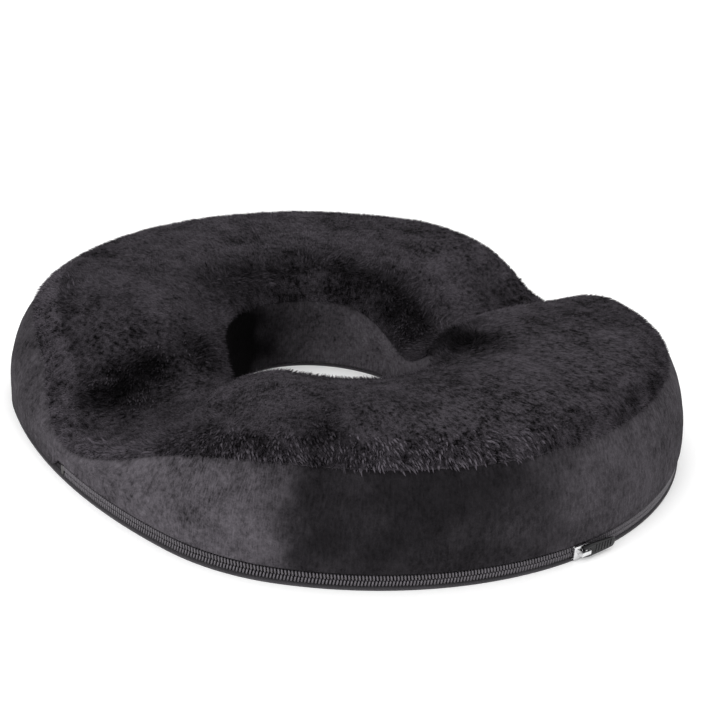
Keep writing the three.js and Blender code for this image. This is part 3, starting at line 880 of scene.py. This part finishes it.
# %% The tree that repeats a shape along a path
path_tree, given = start_tree("Repeat along a path", [
    ("Pitch", "Float"), ("Shape", "Object"), ("Material", "Material")])
line = put(path_tree, "GeometryNodeMeshToCurve", Mesh=given["Geometry"])
spaced = put(path_tree, "GeometryNodeResampleCurve", {"mode": "LENGTH"},
             Curve=line.outputs[0], Length=given["Pitch"])
outward = put(path_tree, "GeometryNodeInputNamedAttribute", {"data_type": "FLOAT_VECTOR"},
              Name="outward")
tangent = put(path_tree, "GeometryNodeInputTangent")
along = put(path_tree, "FunctionNodeAlignRotationToVector", {"axis": "X"},
            Vector=tangent.outputs[0])
faced = put(path_tree, "FunctionNodeAlignRotationToVector", {"axis": "Y", "pivot_axis": "X"},
            Rotation=along.outputs[0], Vector=outward.outputs[0])
shape = put(path_tree, "GeometryNodeObjectInfo", Object=given["Shape"])
copies = put(path_tree, "GeometryNodeInstanceOnPoints", Points=spaced.outputs[0],
             Instance=shape.outputs["Geometry"], Rotation=faced.outputs[0])
end_tree(path_tree, copies.outputs[0], given["Material"])


def path_piece(name, psi, radius, height, pitch, shape, material):
    """shape repeated along the ring at a plain radius and height, over the turns psi."""
    points = cloth_points(psi, radius, height)
    closed = abs(psi[-1] - psi[0]) > 0.98 * 2 * math.pi
    count = len(points)
    edges = [(k, (k + 1) % count) for k in range(count if closed else count - 1)]
    mesh = bpy.data.meshes.new(name + " path")
    mesh.from_pydata(points.tolist(), edges, [])
    give(mesh, "outward", "FLOAT_VECTOR", np.stack([np.cos(psi), np.sin(psi), 0 * psi], -1))
    return run_tree(name, path_tree, link(name + " path", mesh), Pitch=pitch, Shape=shape,
                    Material=material)


def small_shape(name, build):
    """A shape for a tree to repeat. It isn't rendered itself, and it is removed at the end."""
    mesh = bpy.data.meshes.new(name)
    build.to_mesh(mesh)
    build.free()
    made = link(name, mesh)
    made.hide_render = True
    return made


def small_block(name, size, round_by, lean=0.0):
    """A rounded block of size x, y, z in metres. lean skews its top along x."""
    build = bmesh.new()
    bmesh.ops.create_cube(build, size=1)
    for vert in build.verts:
        vert.co = Vector((vert.co.x * size[0] + lean * vert.co.z * size[2],
                          vert.co.y * size[1], vert.co.z * size[2]))
    bmesh.ops.bevel(build, geom=build.edges[:], offset=round_by, segments=1, affect="EDGES")
    return small_shape(name, build)


# %% Thread and zipper materials


def fibre_material(name, dark, light, rough, spec, scale):
    material, tree, shader = start_material(name, Roughness=rough, Specular_IOR_Level=spec)
    twist = object_noise(tree, scale, 2)
    colour_between(tree, shader, twist, dark, light)
    bump(tree, shader, twist, 0.4, 0.0002)
    return material


thread_material = fibre_material("sewing thread", grey(0.02), grey(0.09), 0.75, 0.3, 3000)
coil_material = fibre_material("nylon coil", grey(0.03), grey(0.16), 0.42, 0.5, 900)

tape_material, tree, shader = start_material("woven tape", Roughness=0.85,
                                             Specular_IOR_Level=0.2)
TAPE_WEAVE_ALONG = 6300
TAPE_WEAVE_OVER = 8000
lay = put(tree, "ShaderNodeUVMap", {"uv_map": "lay"}).outputs[0]
rows = weave(tree, TAPE_WEAVE_ALONG, TAPE_WEAVE_OVER, lay)
colour_between(tree, shader, rows, grey(0.008), grey(0.045))
bump(tree, shader, rows, 0.7, 0.0003)

# %% Stitches
STITCH_PITCH = 0.0034
STITCH_SIZE = (0.0026, 0.00055, 0.00055)
THREAD_INSET = 0.9
SEWING_INSET = 4.0
TOP_SEAM = BAND_TOP + 0.1
BASE_SEAM = 1.8
UPPER_SEWING = 11.1
stitch = small_block("stitch", STITCH_SIZE, 0.0002)
ring_turns = turns(720)
left_turns = np.linspace(math.radians(100), math.radians(260), 400)
zip_turns = np.linspace(-TAPE_END, TAPE_END, 500)
STITCH_ROWS = {
    "top_edge_stitches": ("thread_top_edge", ring_turns, PLAIN_OUTER - THREAD_INSET, TOP_SEAM),
    "hole_top_stitches": ("thread_hole_top", ring_turns, PLAIN_HOLE + THREAD_INSET, TOP_SEAM),
    "hole_base_stitches": ("thread_hole_base", ring_turns, PLAIN_HOLE + THREAD_INSET, BASE_SEAM),
    "base_edge_stitches": ("thread_base_edge", left_turns, PLAIN_OUTER - THREAD_INSET, BASE_SEAM),
    "upper_tape_stitches": ("zipper_upper_sewing", zip_turns, PLAIN_OUTER - SEWING_INSET,
                            UPPER_SEWING),
    "lower_tape_stitches": ("zipper_lower_sewing", zip_turns, PLAIN_OUTER - SEWING_INSET,
                            BASE_SEAM),
}
stitches = {name: path_piece(name, *path, STITCH_PITCH, stitch, thread_material)
            for name, (_, *path) in STITCH_ROWS.items()}

# %% [markdown]
# ## Pile
#
# Pile is thousands of short fibres that stand on the cloth and lean together. Each tuft is one
# thin spike. Points are strewn on the top panel, thickest along its edges and in the patches of
# painted shade and thinnest at the smooth spot of the right-hand lobe. Every spike leans along
# the painted direction with a little chance of its own.

# %% The tree that strews tufts on a surface
pile_tree, given = start_tree("Pile on a surface", [
    ("Density", "Float"), ("Seed", "Int"), ("Shape", "Object"), ("Material", "Material")])
cover = put(pile_tree, "GeometryNodeInputNamedAttribute", {"data_type": "FLOAT"}, Name="cover")
density = combine(pile_tree, "MULTIPLY", cover.outputs[0], given["Density"])
strewn = put(pile_tree, "GeometryNodeDistributePointsOnFaces", Mesh=given["Geometry"],
             Density=density, Seed=given["Seed"])
lean = put(pile_tree, "GeometryNodeInputNamedAttribute", {"data_type": "FLOAT_VECTOR"},
           Name="lean")
chance = put(pile_tree, "FunctionNodeRandomValue", {"data_type": "FLOAT_VECTOR"},
             i0=(-0.45, -0.45, -0.3), i1=(0.45, 0.45, 0.3), Seed=given["Seed"])
leaning = put(pile_tree, "ShaderNodeVectorMath", i0=strewn.outputs["Normal"],
              i1=lean.outputs[0])
leaning = put(pile_tree, "ShaderNodeVectorMath", i0=leaning.outputs[0], i1=chance.outputs[0])
turned = put(pile_tree, "FunctionNodeAlignRotationToVector", {"axis": "Z"},
             Vector=leaning.outputs[0])
sizes = put(pile_tree, "FunctionNodeRandomValue", {"data_type": "FLOAT"}, i2=0.6, i3=1.25,
            Seed=given["Seed"])
shape = put(pile_tree, "GeometryNodeObjectInfo", Object=given["Shape"])
copies = put(pile_tree, "GeometryNodeInstanceOnPoints", Points=strewn.outputs["Points"],
             Instance=shape.outputs["Geometry"], Rotation=turned.outputs[0],
             Scale=sizes.outputs[1])
end_tree(pile_tree, copies.outputs[0], given["Material"])


def spike(name, long, wide):
    """A three-sided spike along +Z, closed at its foot."""
    build = bmesh.new()
    bmesh.ops.create_cone(build, cap_ends=True, segments=3, radius1=wide / 2, radius2=0,
                          depth=long)
    bmesh.ops.translate(build, vec=(0, 0, long / 2 - 0.0003), verts=build.verts)
    return small_shape(name, build)


def lock(name, long, wide, sides=5, rings=4):
    """A bent, tapering lock of matted fibres along +Z, closed at its foot."""
    build = bmesh.new()
    loops = []
    for k in range(rings):
        share = k / rings
        reach = wide / 2 * (1 - share ** 1.6) * (0.8 if k == 0 else 1)
        bend = long * 0.35 * share ** 2
        loops.append([build.verts.new((bend + reach * math.cos(2 * math.pi * j / sides),
                                       reach * math.sin(2 * math.pi * j / sides),
                                       long * (share - 0.12))) for j in range(sides)])
    tip = build.verts.new((long * 0.35, 0, long * 0.88))
    for a, b in zip(loops, loops[1:]):
        for j in range(sides):
            build.faces.new((a[j], a[(j + 1) % sides], b[(j + 1) % sides], b[j]))
    for j in range(sides):
        build.faces.new((loops[-1][j], loops[-1][(j + 1) % sides], tip))
    build.faces.new(loops[0][::-1])
    return small_shape(name, build)


# %% Pile on the top panel
RIM_DENSITY = 9.0e5
TOP_DENSITY = 3.6e5
SMOOTH_SPOT = (0.14, 0.08)
SMOOTH_REACH = 0.10
LEAN = 1.5
tuft = spike("tuft", 0.0030, 0.00055)
radii = np.array([r for r, _ in top_section])[None, :] + 0 * top_turns[:, None]
to_edge = np.minimum(PLAIN_OUTER - radii, radii - PLAIN_HOLE)
rim = np.exp(-np.maximum(to_edge - 4, 0) / 9)
on_face = np.zeros(len(top_section))
on_face[len(under) + 1:-1] = 1
swirl = lumps(top_points, 0.035, 13.0) * 1.6 + lumps(top_points, 0.012, 17.0) * 0.8
away_turn = top_turns[:, None] + swirl + np.where(radii < 100, math.pi, 0.0)
lean_vectors = np.stack([np.cos(away_turn), np.sin(away_turn), -0.2 * rim], -1) * LEAN


def pile_piece(name, cover_values, per_square_metre, seed, shape=tuft):
    """Tufts on the top panel, where cover_values gives the share of the full density."""
    ground = link(name + " ground", plush_top.data.copy())
    give(ground.data, "cover", "FLOAT", cover_values * on_face)
    give(ground.data, "lean", "FLOAT_VECTOR", lean_vectors)
    return run_tree(name, pile_tree, ground, Density=per_square_metre, Seed=seed, Shape=shape,
                    Material=pile_plush)


rim_pile = pile_piece("rim_pile", rim, RIM_DENSITY, 4)
from_spot = np.linalg.norm(top_points[..., :2] - SMOOTH_SPOT, axis=-1)
sparse = np.exp(-(from_spot / SMOOTH_REACH) ** 2)
top_cover = (0.6 + np.clip(painted_shade, -0.4, 1) - 0.4 * rim) * (1 - 0.9 * sparse)
top_pile = pile_piece("top_pile", top_cover, TOP_DENSITY, 8)

# %% Matted locks along the front edge and in the patches of painted shade
LOCK_DENSITY = 3.2e5
matted_lock = lock("matted lock", 0.0046, 0.0015)
front = smooth(degrees, -92, -80)[:, None] * (1 - smooth(degrees, -12, 0))[:, None]
at_edge = smooth(-from_edge, -16, -8)[None, :]
lock_cover = np.clip(0.5 * front * at_edge + 0.7 * smooth(painted_shade, 0.25, 0.7), 0, 1)
locks = pile_piece("matted_locks", lock_cover, LOCK_DENSITY, 15, matted_lock)

# %% [markdown]
# ## Zipper
#
# A coil zipper is two nylon spirals sewn on two woven tapes. From outside each turn of a spiral
# shows as a small rounded ridge, and the ridges of the two sides interlock. One ridge is a
# leaning rounded block, repeated every 1.9 mm, and the lower row starts half a pitch later.

# %% Zipper teeth and tapes
TOOTH_PITCH = 0.0019
TOOTH_SIZE = (0.00105, 0.0017, 0.0031)
TOOTH_ROUND = 0.00035
TOOTH_LEAN = 0.16
COIL_RADIUS = PLAIN_OUTER - 1.575
UPPER_COIL_HEIGHT = 7.2
LOWER_COIL_HEIGHT = 3.8
tooth = small_block("tooth", TOOTH_SIZE, TOOTH_ROUND, lean=TOOTH_LEAN)
tooth_back = small_block("tooth_back", TOOTH_SIZE, TOOTH_ROUND, lean=-TOOTH_LEAN)
half_pitch = TOOTH_PITCH / 2 / (END_ARC_RADIUS * MM)
coil_turns = np.linspace(-math.pi / 2, math.pi / 2, 500)
upper_coil = path_piece("upper_coil_teeth", coil_turns, COIL_RADIUS, UPPER_COIL_HEIGHT,
                        TOOTH_PITCH, tooth, coil_material)
lower_coil = path_piece("lower_coil_teeth", coil_turns[:-1] + half_pitch, COIL_RADIUS,
                        LOWER_COIL_HEIGHT, TOOTH_PITCH, tooth_back, coil_material)

TAPE_FACE = PLAIN_OUTER - 2.8
TAPE_BACK = PLAIN_OUTER - 3.4
TAPE_STEP = 1.2
UPPER_TAPE_FOOT = 5.95
LOWER_TAPE_TOP = 5.05


def tape(name, low, high):
    """A woven tape over the zipper's turns, from the height low to the height high."""
    section = [(TAPE_FACE, h) for h in fine(low, high, TAPE_STEP)]
    section += [(TAPE_BACK, h) for h in fine(high, low, TAPE_STEP)]
    points = swept(shaped, zip_turns, section)
    return grid_piece(name, points, zip_turns * END_ARC_RADIUS * MM, section, tape_material,
                      round_the_ring=False)


upper_tape = tape("upper_tape", UPPER_TAPE_FOOT, TAPE_TOP)
lower_tape = tape("lower_tape", FOAM_BASE, LOWER_TAPE_TOP)

# %% [markdown]
# ## Metal parts
#
# The slider, its pull tab and the two end stops are small castings. Their CAD shapes have
# knife-sharp edges, and a real casting's edges are round and catch the light. A merged copy of
# each gets a Bevel modifier, and the copy stands for the node.

# %% Metals


def metal(name, colour, rough, metallic, gloss):
    """A casting's finish, with worn shades and fine scratches."""
    material, tree, shader = start_material(name, Metallic=metallic, Specular_IOR_Level=gloss)
    wear = object_noise(tree, 500, 3)
    scratch = object_noise(tree, 260, 2, (1, 9, 1))
    shade = weigh(tree, (wear, 0.6), (scratch, 0.5))
    dark = tuple(c * 0.72 for c in colour)
    colour_between(tree, shader, shade, dark, colour)
    spread = combine(tree, "ADD", combine(tree, "MULTIPLY", shade, 0.12), rough)
    tree.links.new(spread, shader.inputs["Roughness"])
    bump(tree, shader, scratch, 0.12, 0.0001)
    return material


nickel = metal("nickel plate", (0.86, 0.86, 0.87), 0.18, 1.0, 0.5)
aged_nickel = metal("aged nickel", (0.10, 0.097, 0.095), 0.38, 1.0, 0.5)
black_metal = metal("black enamel", (0.008, 0.008, 0.009), 0.16, 0.0, 0.22)


def rounded_copy(name, node, round_by, material, segments=2):
    """A merged copy of a CAD node with rounded edges, as a plain mesh."""
    build = bmesh.new()
    build.from_mesh(nodes[node].data)
    bmesh.ops.remove_doubles(build, verts=build.verts, dist=1e-6)
    bmesh.ops.dissolve_limit(build, angle_limit=math.radians(2), verts=build.verts,
                             edges=build.edges)
    mesh = bpy.data.meshes.new(name)
    build.to_mesh(mesh)
    build.free()
    mesh.materials.clear()
    mesh.materials.append(material)
    made = link(name, mesh)
    bevel = made.modifiers.new("rounded edges", "BEVEL")
    bevel.width = round_by
    bevel.segments = segments
    bevel.limit_method = "ANGLE"
    bevel.angle_limit = math.radians(30)
    mesh.shade_smooth()
    return made


slider = rounded_copy("slider_casting", "zipper_slider", 0.00022, nickel)
pull_tab = rounded_copy("pull_tab_casting", "zipper_pull_tab", 0.0004, black_metal, 3)
front_stop = rounded_copy("front_stop", "zipper_front_stop", 0.0003, aged_nickel)
back_stop = rounded_copy("back_stop", "zipper_back_stop", 0.0003, aged_nickel)

# %% Grip ribs across the pull tab
# They stand on the tab's outer face, and the same tree repeats them along its length.
tab_low, tab_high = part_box("zipper_pull_tab")
RIB_PITCH = 0.0023
RIB_SIZE = (0.0011, 0.0007, 0.0050)
RIBS_FROM_TIP = (0.0155, 0.0035)
rib = small_block("rib", RIB_SIZE, 0.00025)
rib_path = bpy.data.meshes.new("rib path")
rib_z = (tab_low[2] + tab_high[2]) / 2
rib_ends = [(tab_high[0], tab_high[1] - back, rib_z) for back in RIBS_FROM_TIP]
rib_path.from_pydata(rib_ends, [(0, 1)], [])
give(rib_path, "outward", "FLOAT_VECTOR", [(1, 0, 0), (1, 0, 0)])
ribs = run_tree("pull_tab_ribs", path_tree, link("rib path", rib_path), Pitch=RIB_PITCH,
                Shape=rib, Material=black_metal)

# %% [markdown]
# ## What each piece stands for
#
# Every piece rides on a body of the imported model, and the CAD node that it stands for is
# hidden.

# %% Bodies, nodes and slots
for helper in (stitch, tooth, tooth_back, tuft, matted_lock, rib):
    bpy.data.objects.remove(helper)

ROLES = [
    (foam_ring, "foam_core", "foam"),
    (plush_top, "cover_top_panel", "plush"),
    (plush_wall, "cover_side_band", "plush"),
    (plush_hole, "cover_hole_band", "plush"),
    (base_cloth, "cover_base_panel", "base_cloth"),
    *((stitches[name], row[0], "thread") for name, row in STITCH_ROWS.items()),
    (upper_tape, "zipper_upper_tape", "zipper_tape"),
    (lower_tape, "zipper_lower_tape", "zipper_tape"),
    (upper_coil, "zipper_upper_coil", "zipper_coil"),
    (lower_coil, "zipper_lower_coil", "zipper_coil"),
    (front_stop, "zipper_front_stop", "nickel"),
    (back_stop, "zipper_back_stop", "nickel"),
    (slider, "zipper_slider", "nickel"),
    (pull_tab, "zipper_pull_tab", "dark_metal"),
]
MOVING = {slider: "slider", pull_tab: "pull_tab"}
for piece, node, slot in ROLES:
    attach(piece, MOVING.get(piece, "cushion"))
    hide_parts(node)

for piece in (rim_pile, top_pile, locks):
    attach(piece, "cushion")
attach(ribs, "pull_tab")
